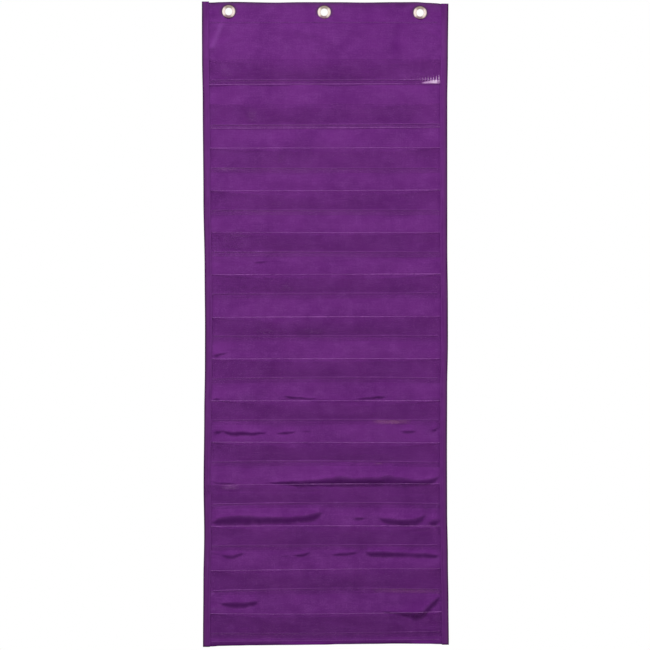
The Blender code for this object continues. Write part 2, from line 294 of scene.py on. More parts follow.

# Painted highlights and painted shade on the cloth, all in pixels: from, to, half width, and strength (below 0 is
# darker)
paintedLightLines = inMetres((
    (221, 26, 213, 46, 2.3, 0.27), (212, 5, 214, 18, 2.6, -0.30), (213, 4, 224, 3, 2.2, -0.45),
    (232, 3, 250, 4, 1.8, -0.18), (300, 4, 345, 3, 1.5, -0.16), (398, 4, 412, 4, 2.0, -0.30),
    (229, 19, 230, 22, 3.0, -0.10), (420, 20, 421, 23, 3.0, -0.12), (222, 66, 229, 73, 3.0, 0.10),
    (398, 27, 395, 48, 5.0, -0.42), (424, 29, 438, 37, 2.6, 0.06), (438, 20, 439, 36, 7.0, -0.34),
    (307, 8, 308, 20, 7.0, -0.24), (218, 8, 219, 11, 5.0, -0.22), (402, 9, 403, 13, 5.0, -0.22),
    (226, 88, 226, 97, 6.0, -0.24), (321, 233.0, 338, 233.4, 2.6, -0.40), (268, 261.8, 294, 262.4, 1.8, -0.20),
    (437, 258, 437, 266, 3.5, -0.40), (230, 305, 254, 304, 1.6, -0.18), (312, 401.0, 368, 401.4, 1.8, -0.50),
    (312, 485.3, 330, 485.6, 2.4, -0.46), (342, 484.2, 367, 484, 1.8, -0.44), (400, 610.6, 420, 610.6, 2.0, -0.26),
    (268, 604, 278, 604, 4.5, 0.08), (243, 398, 250, 398, 4.0, 0.08), (311, 223.5, 325, 223.5, 3.0, 0.07),
    (412, 594, 422, 593, 4.0, -0.14), (419, 639.5, 436, 639.2, 2.4, -0.44), (400, 12, 375, 50, 24.0, -0.17),
    (345, 10, 352, 30, 14.0, -0.12), (292, 8, 290, 30, 12.0, -0.12), (223, 36, 216, 57, 4.6, -0.18),
    (369, 10, 369, 20, 9.0, -0.40), (310, 470, 436, 472, 4.5, -0.16), (318, 462, 352, 463, 4.0, -0.10),
    (262, 526, 395, 527, 3.5, -0.16), (414, 400, 414, 640, 24.0, -0.14), (345, 395, 340, 480, 26.0, -0.10),
    (275, 447, 430, 447, 6.0, -0.12), (405, 598, 420, 606, 11.0, -0.24), (380, 549.6, 436, 551, 2.2, -0.30),
    (268, 508, 312, 508, 3.0, -0.14), (224, 154, 300, 163, 9.0, 0.05), (345, 5, 404, 5, 3.0, -0.30),
    (211, 594.5, 213, 593.5, 1.2, 0.30), (211, 610, 214, 608.5, 1.1, 0.22), (436, 508, 440, 501, 1.2, 0.30),
), photo["pixel"])


def onLines(lines, x, z):  # what the soft lines come to at a spot
    total = 0
    for startX, startZ, endX, endZ, half, strength in lines:
        if abs(z - (startZ + endZ) / 2) > abs(endZ - startZ) / 2 + 3 * half:
            continue
        run = Vector((endX - startX, endZ - startZ))
        along = clamp(Vector((x - startX, z - startZ)).dot(run) / run.length_squared)
        apart = math.hypot(x - startX - along * run.x, z - startZ - along * run.y)
        total += strength * math.exp(-(apart / half) ** 2)
    return total


def slump(x, z):  # how far the bare cloth stands out, and how much painted shade it takes where it falls steeply
    out, creaseShade = 0, 0
    for lip, fall, left, right, low, high, depth in creaseLines:
        if not (left < x < right and low < z < high):
            continue
        ends = between(0, creases["endFade"], x - left) * between(0, creases["endFade"], right - x)
        ragged = ripple(x * 85, low * 40, 1.3)
        jagged = ripple(x * 230, low * 40, 6.1)
        drop = max(creases["spread"] * throughKnots(fall, x) * (1 + 0.22 * jagged) * ends, 1e-6)
        below = throughKnots(lip, x) + creases["ragged"] * ragged + creases["jagged"] * jagged - z
        lean = creases["lean"] * drop
        rise = creases["rise"] * (0.5 + drop * 120)
        if below < 0:
            out += lean * (1 - creases["tuck"]) * math.exp(below / rise)
        elif below < drop:
            share = below / drop
            out += lean * (1 - creases["tuck"] - 0.6 * share - 0.4 * smooth(share))
            # painted shade on the steep fall below each lip
            level = depth * (1 + 0.3 * ripple(x * 50, low * 40, 3.6) + 0.3 * jagged)
            creaseShade = max(creaseShade, ends * min(level, 1) * between(0, 0.42, share) * between(1, 0.55, share))
        else:
            out -= lean * creases["tuck"] * math.exp((drop - below) / rise)
    return out + onLines(ridgeLines, x, z), creaseShade


def seamGrip(x, z):  # 0 on a seam, 1 away from all of them
    nearest = min(abs(z - seamAt(number, x)) for number in range(1, pocketCount + 1))
    return between(0.001, 0.009, nearest)


def clothOut(x, z):  # the same for the cloth as it is sewn and hung
    out, creaseShade = slump(x, z)
    loose = 0.0011 * ripple(x * 16, z * 26, 8.1) + 0.0005 * ripple(x * 44, z * 60, 2.2)
    tapeSide = 1 - between(0, 0.014, tapeGap(x, z))
    fine = (0.00016 + 0.00040 * tapeSide) * ripple(x * 110 + z * 40, z * 150, 5.2)
    return plies["cloth"] + sway(x, z) + (out + loose + fine) * seamGrip(x, z), creaseShade


# Small working helpers
def deselectAll():
    if bpy.context.object and bpy.context.object.mode != "OBJECT":
        bpy.ops.object.mode_set(mode="OBJECT")
    bpy.ops.object.select_all(action="DESELECT")


def pick(item):
    deselectAll()
    item.select_set(True)
    bpy.context.view_layer.objects.active = item


def selectCorners(item, test):  # leaves edit mode on, with only the corners that pass the test selected
    pick(item)
    bpy.ops.object.mode_set(mode="EDIT")
    bpy.ops.mesh.select_mode(type="VERT")
    bpy.ops.mesh.select_all(action="DESELECT")
    bpy.ops.object.mode_set(mode="OBJECT")
    for corner in item.data.vertices:
        corner.select = test(corner.co)
    bpy.ops.object.mode_set(mode="EDIT")


def named(name):
    made = bpy.context.object
    made.name = name
    made.data.name = name
    return made


def copyPiece(pattern, name):  # with a mesh of its own
    made = pattern.copy()
    made.data = pattern.data.copy()
    made.name = made.data.name = name
    bpy.context.collection.objects.link(made)
    return made


def setMark(piece, mark, values):  # a value at each corner, for the piece's material
    piece.data.attributes.new(mark, "FLOAT", "POINT").data.foreach_set("value", values)


def finishPiece(piece, node, material):
    piece.data.materials.clear()
    piece.data.materials.append(material)
    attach(piece, "root")
    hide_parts(node)


def applyModifier(piece, kind, **settings):
    pick(piece)
    bpy.ops.object.modifier_add(type=kind)
    modifier = piece.modifiers[-1]
    for key, value in settings.items():
        setattr(modifier, key, value)
    bpy.ops.object.modifier_apply(modifier=modifier.name)


def gridSheet(name, columns, rows):
    deselectAll()
    bpy.ops.mesh.primitive_grid_add(x_subdivisions=columns, y_subdivisions=rows, size=1)
    return named(name)


def shapeSheet(sheet, columns, rows, place, marks=()):
    # place gives a corner's spot, its spot on the flat sheet in metres, and a value for each mark
    mesh = sheet.data
    flats = []
    values = [[] for mark in marks]
    for corner in mesh.vertices:
        column = round((corner.co.x + 0.5) * columns)
        row = round((corner.co.y + 0.5) * rows)
        spot, flat, marked = place(column, row)
        corner.co = spot
        flats.append(flat)
        for store, value in zip(values, marked):
            store.append(value)
    layer = mesh.uv_layers.active.data
    for loop in mesh.loops:
        layer[loop.index].uv = flats[loop.vertex_index]
    for mark, store in zip(marks, values):
        setMark(sheet, mark, store)


def thicken(sheet, thickness):
    applyModifier(sheet, "SOLIDIFY", thickness=thickness, offset=0, use_even_offset=True)
    pick(sheet)
    bpy.ops.object.shade_smooth()


# Shader maths: a wire is a node's output that takes part in sums
class Wire:
    def __init__(self, finish, socket):
        self.finish = finish
        self.socket = socket

    def maths(self, operation, first, second):
        return self.finish.node("ShaderNodeMath", {"operation": operation}, {0: first, 1: second})

    def __add__(self, other):
        return self.maths("ADD", self, other)

    def __sub__(self, other):
        return self.maths("SUBTRACT", self, other)

    def __rsub__(self, other):
        return self.maths("SUBTRACT", other, self)

    def __mul__(self, other):
        return self.maths("MULTIPLY", self, other)

    def __pow__(self, other):
        return self.maths("POWER", self, other)

    __radd__ = __add__
    __rmul__ = __mul__

    def sine(self):
        return self.maths("SINE", self, 0)

    def least(self, other):
        return self.maths("MINIMUM", self, other)

    def most(self, other):
        return self.maths("MAXIMUM", self, other)

    def clamped(self, high=1.0):
        return self.most(0.0).least(high)


class Finish:
    def __init__(self, name, **constants):
        self.material = bpy.data.materials.new(name)
        self.material.use_nodes = True
        self.tree = self.material.node_tree
        self.shader = self.tree.nodes["Principled BSDF"]
        for key, value in constants.items():
            self.shader.inputs[key.replace("_", " ")].default_value = value

    def node(self, kind, settings=None, inputs=None, output=0):
        made = self.tree.nodes.new(kind)
        for key, value in (settings or {}).items():
            setattr(made, key, value)
        for key, value in (inputs or {}).items():
            self.feed(made.inputs[key], value)
        return Wire(self, made.outputs[output])

    def feed(self, socket, value):
        if isinstance(value, Wire):
            self.tree.links.new(value.socket, socket)
        else:
            socket.default_value = value

    def set(self, name, value):
        self.feed(self.shader.inputs[name], value)

    def parted(self, spot):  # a spot's first two coordinates
        split = self.node("ShaderNodeSeparateXYZ", inputs={0: spot})
        return split, Wire(self, split.socket.node.outputs[1])

    def flat(self):  # across and along the sheet, in metres
        spot = self.node("ShaderNodeUVMap")
        return *self.parted(spot), spot

    def place(self):
        return self.node("ShaderNodeTexCoord", output=3)

    def noise(self, spot, scale, detail=2.0, roughness=0.5):  # three scales in place of one stretch it
        if isinstance(scale, tuple):
            spot = self.node("ShaderNodeMapping", inputs={"Vector": spot, "Scale": scale})
            scale = 1.0
        return self.node("ShaderNodeTexNoise", inputs={"Vector": spot, "Scale": scale, "Detail": detail,
                                                       "Roughness": roughness})

    def mark(self, name):
        return self.node("ShaderNodeAttribute", {"attribute_name": name}, output=2)

    def blend(self, factor, first, second):
        first, second = ((*colour, 1) if isinstance(colour, tuple) else colour for colour in (first, second))
        return self.node("ShaderNodeMix", {"data_type": "RGBA"}, {0: factor, 6: first, 7: second}, 2)

    def bump(self, height, distance, strength=1.0):
        self.set("Normal", self.node("ShaderNodeBump", inputs={"Height": height, "Distance": distance,
                                                               "Strength": strength}))


def tint(red, green, blue):  # a screen colour as the linear one that a shader takes
    return tuple((part / 255 / 12.92) if part < 10.3 else ((part / 255 + 0.055) / 1.055) ** 2.4
                 for part in (red, green, blue))


# Finishes
# Painted light among these colours: the third is painted shade, the fifth a painted highlight and the last painted
# shade at the top edge and round the grommets; the second also takes the painted shade at the bottom
nylon = {
    "colour": tint(105, 41, 121), "deep": tint(95, 34, 111), "fold": tint(78, 11, 95), "pale": tint(122, 60, 139),
    "paintedHighlight": tint(146, 82, 166), "paintedShadeTint": tint(66, 48, 68),
    "yarn": 0.00045, "roughness": 0.60,
}


def makeNylonFinish():
    finish = Finish("purpleNylon", Specular_IOR_Level=0.12)
    across, along, spot = finish.flat()
    turn = math.pi / nylon["yarn"]
    weave = (across * turn).sine() * (along * turn).sine()
    slub = finish.noise(spot, (60, 1400, 1)) - 0.5
    cloud = finish.noise(spot, 19.0, 3.0, 0.55)
    patch = finish.noise(spot, 60.0, 4.0, 0.65)
    yarn = finish.noise(spot, (700, 25, 1), 1.0) + finish.noise(spot, (25, 700, 1), 1.0) - 1.0
    grain = finish.noise(spot, 620.0, 1.0) + finish.noise(spot, (50, 800, 1), 1.0) * 0.35 - 0.675
    lowerShade = ((0.22 - along) * 2.8).clamped(0.58)  # painted shade: the bottom of the cloth is a little darker
    body = finish.blend((cloud - 0.5) * 3.6 + 0.5 - lowerShade, nylon["deep"], nylon["colour"])
    mottle = (patch - 0.5) * 1.3 + 0.08 * weave + 0.3 * yarn + 1.25 * grain + 0.14
    body = finish.blend(mottle, body, nylon["pale"])
    # painted highlights on crease lines and a few small light spots
    body = finish.blend(finish.mark("paintedLight").least(1.0), body, nylon["paintedHighlight"])
    # painted shade: in the crease falls, along the folded top and bottom edges, beside the tapes and below the lower
    # seams
    body = finish.blend((finish.mark("paintedShade") * 0.8).least(1.0), body, nylon["fold"])
    # painted shade at the top edge and round the grommets
    finish.set("Base Color", finish.blend(finish.mark("paintedShadeTint"), body, nylon["paintedShadeTint"]))
    finish.set("Roughness", nylon["roughness"] + 0.12 * (patch - 0.5) + 0.05 * weave)
    crumple = finish.noise(spot, 130.0, 3.0, 0.6)
    finish.bump(weave * 0.25 + slub * 0.3 + crumple * 2.6 + finish.noise(spot, 330.0), 0.00012, 0.7)
    return finish.material


# the last colour is painted shade, for the tape's rounded edge and its ends
tape = {
    "colour": tint(93, 36, 107), "pale": tint(114, 52, 130), "outer": tint(97, 50, 106), "wearAndShade": tint(54, 14, 62),
    "rib": 0.00055, "yarn": 0.0008, "twist": 0.0011,
}


def makeTapeFinish():
    finish = Finish("purpleTape", Specular_IOR_Level=0.04)
    across, along, spot = finish.flat()
    ribs = (along * (2 * math.pi / tape["rib"])).sine()
    yarns = (across * (2 * math.pi / tape["yarn"]) + along * (2 * math.pi / tape["twist"])).sine()
    cloud = finish.noise(spot, 70.0, 3.0)
    streak = finish.noise(spot, (520, 14, 1))
    level = (cloud - 0.5) * 1.0 + (streak - 0.5) * 1.5 + (along - 0.42) * 0.62 + 0.06 * yarns + 0.34
    level = level - ((along - 0.828) * 40.0).clamped() * 0.7 + finish.mark("lit")  # darker near the top end
    body = finish.blend(level, tape["colour"], tape["pale"])
    body = finish.blend(finish.mark("outer"), body, tape["outer"])
    # painted shade at the rounded edge and at the ends
    finish.set("Base Color", finish.blend(finish.mark("fold") * 0.95, body, tape["wearAndShade"]))
    finish.set("Roughness", 0.64 + 0.08 * ribs)
    finish.bump(ribs * 0.35 + yarns * 0.35 + cloud * 0.5, 0.00008, 0.6)
    return finish.material


# Painted light among these colours: the third is a painted highlight on the cut edges, the fourth partly a milky film
# and partly painted reflection, the fifth a painted highlight
film = {
    "colour": tint(36, 22, 66), "warm": tint(70, 14, 50), "edge": tint(198, 128, 214),
    "milkinessAndReflection": tint(232, 166, 234), "gleam": tint(252, 222, 255), "brownTint": tint(194, 132, 158),
    "clear": 0.044, "glance": 0.42,  # how much of the film shows face on, and how much more edge on
    "gape": 0.0046, "columns": 150,
    "rims": (  # painted highlight: how brightly each mouth's cut edge shows at its left, middle and right
        (1.5, 0.9, 1.1), (2.3, 1.7, 1.2), (11.4, 10.4, 9.2), (9.7, 9.9, 11.8), (5.9, 11.4, 8.6),
        (10.8, 7.8, 15.7), (10.8, 14.5, 7.2), (11.4, 11.5, 10.2), (11.9, 11.5, 12.4), (11.6, 9.5, 11.2),
        (5, 14.6, 10.2), (12, 11.6, 12.8), (9.9, 10.6, 6.3), (10.4, 9.2, 12.1)),
    "rimShare": 0.06,
    "lowEdge": 0.12, "lowEdges": {1: 0.85, 2: 0.70, 4: 0.18, 5: 0.24},  # painted highlight: how brightly the lower edges show
    "veils": (  # how much clearer each strip is above its seam, and how hazy (or dull) below it
        (0.028, -0.010), (0.028, 0.032), (0.052, 0.030), (0.047, 0.030), (0.018, 0.024), (0.008, 0.004),
        (0.008, -0.002), (0.020, -0.004), (0.018, 0), (0.026, -0.003), (0.024, -0.005), (0.034, -0.004),
        (0.030, -0.002), (0.012, -0.010)),
}


def makeFilmFinish():
    finish = Finish("clearVinyl", Specular_IOR_Level=0.2, Specular_Tint=(0.95, 0.45, 1.0, 1.0), IOR=1.25)
    across, along, spot = finish.flat()
    edge, milkinessAndReflection, brownTint = (finish.mark(name) for name in ("edge", "milkinessAndReflection", "brownTint"))
    facing = finish.node("ShaderNodeLayerWeight", inputs={"Blend": 0.5}, output=1)
    smear = finish.noise(spot, (26, 78, 26), 3.0)
    body = finish.blend((finish.noise(spot, 17.0) - 0.5) * 2.2 + 0.5, film["colour"], film["warm"])
    # painted highlight along the cut edges
    tone = finish.blend(edge.least(1.0), body, film["edge"])
    tone = finish.blend((brownTint * 14.0).least(1.0), tone, film["brownTint"])
    # partly a milky film and partly painted reflection; the gleam above it is a painted highlight
    tone = finish.blend((milkinessAndReflection * 12.0).least(1.0), tone, film["milkinessAndReflection"])
    finish.set("Base Color", finish.blend((milkinessAndReflection * 3.2 - 0.16).clamped(), tone, film["gleam"]))
    clear = film["clear"] * (1.0 - 0.6 * finish.mark("pressed")) + (smear - 0.5) * 0.035
    clear = clear + facing ** 3.0 * film["glance"] + edge * 0.55 + milkinessAndReflection + brownTint
    finish.set("Alpha", (clear + (finish.noise(spot, 620.0, 1.0) - 0.5) * 0.15).least(1.0))
    finish.set("Roughness", 0.13 + smear * 0.12 + milkinessAndReflection * 0.2)
    finish.bump(finish.noise(spot, (34, 68, 34)), 0.0012, 0.25)
    return finish.material


def makeThreadFinish():
    finish = Finish("purpleThread", Specular_IOR_Level=0.4)
    strand = finish.noise(finish.place(), 900.0, 1.0)
    body = finish.blend(strand, tint(98, 40, 113), tint(118, 57, 134))
    finish.set("Base Color", finish.blend(finish.mark("glint"), body, tint(205, 124, 224)))
    finish.set("Roughness", 0.46 + 0.2 * strand)
    finish.bump(strand, 0.00006, 0.6)
    return finish.material


def makeBrassFinish():
    finish = Finish("paleBrass", Metallic=1.0)
    spot = finish.place()
    # patina in the hollows, and painted reflection and shade at the top, below and at the right side
    patinaAndReflection = finish.mark("patinaAndReflection")
    scuff = finish.noise(spot, 900.0, 3.0)
    cloud = finish.noise(spot, 240.0, 2.0)
    bright = finish.blend(cloud, tint(244, 224, 210), tint(255, 242, 236))
    # brown patina, turned purple by the painted reflection of the cloth
    wearAndShade = finish.blend(finish.mark("paintedShadeTint"), tint(100, 80, 60), tint(112, 52, 94))
    finish.set("Base Color", finish.blend((patinaAndReflection + (scuff - 0.5) * 0.2).clamped(), bright, wearAndShade))
    finish.set("Roughness", 0.24 + 0.16 * scuff + 0.25 * patinaAndReflection)
    finish.bump(scuff, 0.00006, 0.35)
    return finish.material


nylonMaterial = makeNylonFinish()
tapeMaterial = makeTapeFinish()
filmMaterial = makeFilmFinish()
threadMaterial = makeThreadFinish()
brassMaterial = makeBrassFinish()
print("finishes made")

# The backing cloth, from the raw edge of its bottom hem round the bottom, up the front and over the top
backing = {
    "columns": 131, "lipStep": 0.0010, "slopeStep": 0.0021, "headerStep": 0.0022, "flatStep": 0.0050,
    "headerFoot": heightAt(52), "topBand": 0.006,  # where the steps change
    "foldSteps": 5, "hemStep": 0.006,
    "topHem": hemHeights["top"] - 0.0030, "bottomHem": hemHeights["bottom"] + 0.0030,
    "tapeShade": (0.0008, 0.0042),  # the dark line beside each tape, from and to
    "underShade": (0.0040, 0.0058, 0.010, 0.018),  # the darker band below a seam: full from, to, gone at
    "underFrom": 4,  # the first seam with one
    "ringShade": (0.0094, 0.0136),
}


def frontLevels(low, high):  # closest together where the cloth slumps
    levels = [low]
    rise = creases["rise"]
    while levels[-1] < high:
        here = levels[-1]
        step = backing["headerStep"] if here > backing["headerFoot"] else backing["flatStep"]
        if here > clothHigh[2] - backing["topBand"]:
            step = backing["lipStep"]
        for lip, fall, left, right, bottom, top, depth in creaseLines:
            if bottom + 4 * rise - 0.001 < here < top - 4 * rise + 0.0015:
                step = min(step, backing["lipStep"])
            elif bottom + 3 * rise < here < top - 2.5 * rise:
                step = min(step, backing["slopeStep"])
        levels.append(min(here + step, high))
    return levels


grommet = {
    "hole": 0.0056, "cut": 0.0052, "drawn": 0.0024,  # the cloth's hole, and how far round it corners are moved
    "segments": 96,
    "pixels": {"left": (228.7, 11.45), "centre": (324.2, 12.15), "right": (420.1, 12.7)},
}
grommetPlaces = {name: (acrossAt(across), heightAt(down)) for name, (across, down) in grommet["pixels"].items()}


def backingPath():  # (height, depth, distance along the cloth, on the front)
    reach = (plies["cloth"] - plies["hem"]) / 2
    middle = (plies["cloth"] + plies["hem"]) / 2
    half = plies["clothThickness"] / 2
    lowFold, highFold = clothLow[2] + half + reach, clothHigh[2] - half - reach
    turns = [math.pi * step / backing["foldSteps"] for step in range(1, backing["foldSteps"])]
    path = [(backing["bottomHem"], plies["hem"], False), (lowFold, plies["hem"], False)]
    path += [(lowFold - reach * math.sin(turn), middle - reach * math.cos(turn), False) for turn in turns]
    path += [(z, plies["cloth"], True) for z in frontLevels(lowFold, highFold)]
    path += [(highFold + reach * math.sin(turn), middle + reach * math.cos(turn), False) for turn in turns]
    hemRows = math.ceil((highFold - backing["topHem"]) / backing["hemStep"])
    path += [(highFold + (backing["topHem"] - highFold) * row / hemRows, plies["hem"], False)
             for row in range(hemRows + 1)]
    walked = distances([(z, depth) for z, depth, front in path])
    return [(z, depth, along, front) for (z, depth, front), along in zip(path, walked)]


def shadeAt(x, z):  # how dark the cloth is beside the tapes and below the lower seams
    start, end = backing["tapeShade"]
    beside = (0.06 + 0.28 * (x > 0)) * (1 - between(start, end, tapeGap(x, z))) * between(0.050, 0.090, -z)
    gaps = ((seamAt(number, x) - z, number) for number in range(backing["underFrom"], pocketCount + 1))
    gap, number = min((pair for pair in gaps if pair[0] > 0.003), default=(1, 0))
    full, far, fading, gone = backing["underShade"]
    under = 0.10 * (number > 7) + 0.08 * between(acrossAt(345), acrossAt(375), x)
    return max(beside, under * between(full, far, gap) * (1 - between(fading, gone, gap)))


def ringShade(x, z):  # painted shade round the grommets, less below them
    ring, drop = min((math.hypot(x - spot[0], z - spot[1]), spot[1] - z) for spot in grommetPlaces.values())
    lit = 1 - between(0.2, 0.8, drop / max(ring, 1e-6))
    return 0.62 * lit * (1 - between(*backing["ringShade"], ring))


def makeBacking():
    path = backingPath()
    columns, rows = backing["columns"], len(path) - 1
    sheet = gridSheet("backingCloth", columns, rows)

    def place(column, row):
        z, depth, along, front = path[row]
        share = column / columns
        x = acrossChart(share, z, edgeInset)
        out, creaseShade = clothOut(x, z) if front else (depth + sway(x, z), 0)
        flat = (share * (clothHigh[0] - clothLow[0]), along)
        topDrop = max(clothHigh[2] - z - 0.0004, 0)
        # painted shade along the top edge
        paintedShadeTint = 0.75 * math.exp(-topDrop / 0.0030) * (1 + 0.3 * ripple(x * 60, 0, 5.0))
        # painted shade along the folded top and bottom edges
        wearAndShade = 1.1 - 1.1 * between(0.0004, 0.0030, min(clothHigh[2] - z + 0.0008, z - clothLow[2]))
        paintedLight = onLines(paintedLightLines, x, z) if front else 0
        # painted shade, painted highlights, and painted shade at the top edge and round the grommets
        marks = (max(creaseShade, wearAndShade, shadeAt(x, z), -paintedLight), max(paintedLight, 0), max(paintedShadeTint, ringShade(x, z) * front))
        return (x, -out, settle(x, z)), flat, marks

    shapeSheet(sheet, columns, rows, place, ("paintedShade", "paintedLight", "paintedShadeTint"))
    openHoles(sheet)
    thicken(sheet, plies["clothThickness"])
    finishPiece(sheet, "backing_cloth", nylonMaterial)
    return sheet, path[-1][2]


def openHoles(sheet):  # clears the cloth inside each grommet and draws its edge to a circle
    selectCorners(sheet, lambda corner: any(math.hypot(corner.x - x, corner.z - z) < grommet["cut"]
                                            for x, z in grommetPlaces.values()))
    bpy.ops.mesh.delete(type="VERT")
    bpy.ops.object.mode_set(mode="OBJECT")
    for corner in sheet.data.vertices:
        for x, z in grommetPlaces.values():
            apart = Vector((corner.co.x - x, corner.co.z - z))
            if apart.length < grommet["hole"] + grommet["drawn"]:
                spot = apart.normalized() * (grommet["hole"] + 0.25 * max(apart.length - grommet["cut"], 0))
                corner.co.x, corner.co.z = x + spot.x, z + spot.y


backingSheet, backingLength = makeBacking()
print("backing cloth:", len(backingSheet.data.polygons), "faces")

# The clear strips
filmHeights = [0.001 * height for height in (
    -6.35, -6.0, -5.85, -5.0, -4.0, -2.8, -1.7, -0.8, 0, 0.8, 1.7, 3.0, 4.8, 7.0, 9.6, 12.4, 15.2, 18.0, 20.6, 22.8,
    24.3, 24.9, 25.02, 25.4)]
# Brownish and pale places: pocket, from and to (pixels across), from and to (height over the seam), strength
brownSpots = (
    (9, 372, 412, -0.0066, 0.0004, 0.15),
    (10, 374, 384, -0.0052, -0.0014, 0.10),
    (13, 372, 444, -0.0066, 0.0010, 0.09),
)
paleSpots = (
    (1, 222, 232, 0.0040, 0.0150, 0.05), (2, 246, 257, 0.0020, 0.0185, 0.055),
    (3, 215, 239, -0.0055, 0.0014, 0.045), (3, 277, 286, 0.0055, 0.0180, 0.045),
    (4, 268, 284, 0.0010, 0.0125, 0.035), (5, 222, 250, 0.0030, 0.0220, 0.02),
    (5, 230, 252, 0.0180, 0.0275, 0.03), (6, 280, 293, 0.0020, 0.0145, 0.045),
    (7, 256, 276, 0.0005, 0.0085, 0.04), (7, 300, 325, 0.0010, 0.0095, 0.05),
    (11, 221, 240, 0.0185, 0.0290, 0.075),
)
beatAcross = acrossAt(439.0)  # the place of one of the first seam's gathers
stitch = {"pitch": 0.00365, "radius": 0.00017, "dip": 0.00030, "sides": 6}


def puckerAt(number, x, height):  # the gathers that a tight seam leaves: how tight, and the beat along them
    if number > 1:
        return 0, 0
    across = pixelAcross(x)
    tight = 0.13 * between(399, 402, across) * (1 - between(407, 411, across)) + between(411, 434, across) ** 1.1
    reach = 0.0009 + 0.0013 * tight + 0.0022 * between(434, 440, across)
    return tight * math.exp(-(height / reach) ** 2), math.cos(2 * math.pi * (x - beatAcross) / stitch["pitch"])


def filmOut(number, x, z, height):  # how far out a strip is
    left, right = edgeX(-1, z, tapeWidth), edgeX(1, z, tapeWidth)
    bow = 1 - abs(2 * clamp((x - left) / (right - left)) - 1) ** 2.6
    rise = math.sin(math.pi / 2 * clamp((height - 0.0015) / (sewing["depth"] - 0.0015)))
    gape = film["gape"] * (1 + 0.25 * math.sin(2.1 * number + 5 * x))
    wave = 0.00035 * ripple(x * 18, number * 7.0, 0.5 + height * 60) * bow
    if height < 0:
        droop = (height / sewing["margin"]) ** 2
        wave += 0.0008 * droop * (0.5 + ripple(x * 24, number * 3.0, 9.0))
        if number == 1:
            wave += 0.0016 * droop * between(acrossAt(415), acrossAt(436), x) * bow ** 0.3
    tight, beat = puckerAt(number, x, height)
    out = plies["film"] + sway(x, z) + gape * bow * rise + wave * bow ** 0.3 + 0.00030 * tight * (beat + 1) / 2
    under = clothOut(x, z)[0] + 0.0004 + 0.0003 * between(0.002, 0.006, height)
    return max(out, under)


def oneSide(strength):  # a veil that is seen on both faces of a strip
    return 1 - math.sqrt(1 - clamp(strength))


def spotsOn(spots, number, x, height):  # what the brownish places and the pale places of a strip come to
    total = 0
    for pocket, start, end, low, high, strength in spots:
        if pocket == number:
            share = clamp((x - acrossAt(start)) / (acrossAt(end) - acrossAt(start)))
            tall = between(low, low + 0.0016, height) * (1 - between(high - 0.0016, high, height))
            uneven = 0.85 + 0.5 * ripple(x * 200, height * 200, 4.0)
            total += strength * math.sin(math.pi * share) ** 0.5 * tall * uneven
    return total


def brownTintAt(number, x, height):  # a brownish tint, less where a strip is clearer than the others
    clearer = film["veils"][number - 1][0] * clamp(1 - max(height, 0) / sewing["depth"])
    clearer *= 1 + 0.3 * ripple(x * 30, height * 60, number)
    return oneSide(spotsOn(brownSpots, number, x, height)) - clearer * between(-0.0008, 0.0004, height)


def wedgeAt(x, height):  # painted reflection below the first seam's right end, and painted glints on its gathers
    across = pixelAcross(x)
    level = 0.40 * between(420, 425, across) + 0.17 * between(429, 434, across)
    level *= 1 - 0.8 * between(436, 439, across)
    top = -0.0044 + 0.0034 * between(419, 436, across)
    level *= between(-0.0062, -0.0052, height) * (1 - between(top - 0.0010, top + 0.0008, height))
    tight, beat = puckerAt(1, x, height)
    faint = between(400, 410, across) * between(0, 0.001, height) * math.exp(-(height / 0.0075) ** 4)
    return level + (0.76 * tight ** 0.9 + 0.09 * faint) * max(beat, 0) ** 3


def milkinessAndReflectionAt(number, x, height):  # how milky a strip is, with the painted reflection and glints at the first seam's right end
    total = max(film["veils"][number - 1][1], 0) * between(0.0004, -0.0008, height)
    total *= 1 + 0.3 * ripple(x * 30, height * 60, number + 0.5)
    low = between(0, -0.0006, height) * between(-0.0044, -0.0014, height)  # just below the seam
    total += 0.035 * (1 - 0.6 * between(-0.06, 0.10, x)) * low + spotsOn(paleSpots, number, x, height)
    return oneSide(total + wedgeAt(x, height) if number == 1 else total)


def rimAt(number, x, row):  # the painted highlight on a strip's cut edges: how brightly they show
    rows = len(filmHeights) - 1
    if 2 <= row < rows - 1:
        return 0
    patchy = 1 + 0.3 * ripple(x * 22, number * 9.0, 3.0) + 0.4 * ripple(x * 150, number * 9.0, 3.0)
    patchy = max(patchy, 0)
    if row > 1:
        return film["rimShare"] * patchy * leftToRight(film["rims"][number - 1], x)
    edge = film["lowEdges"].get(number, film["lowEdge"]) * patchy
    return edge * (1 - 0.6 * (number == 1) * between(acrossAt(401), acrossAt(406), x))


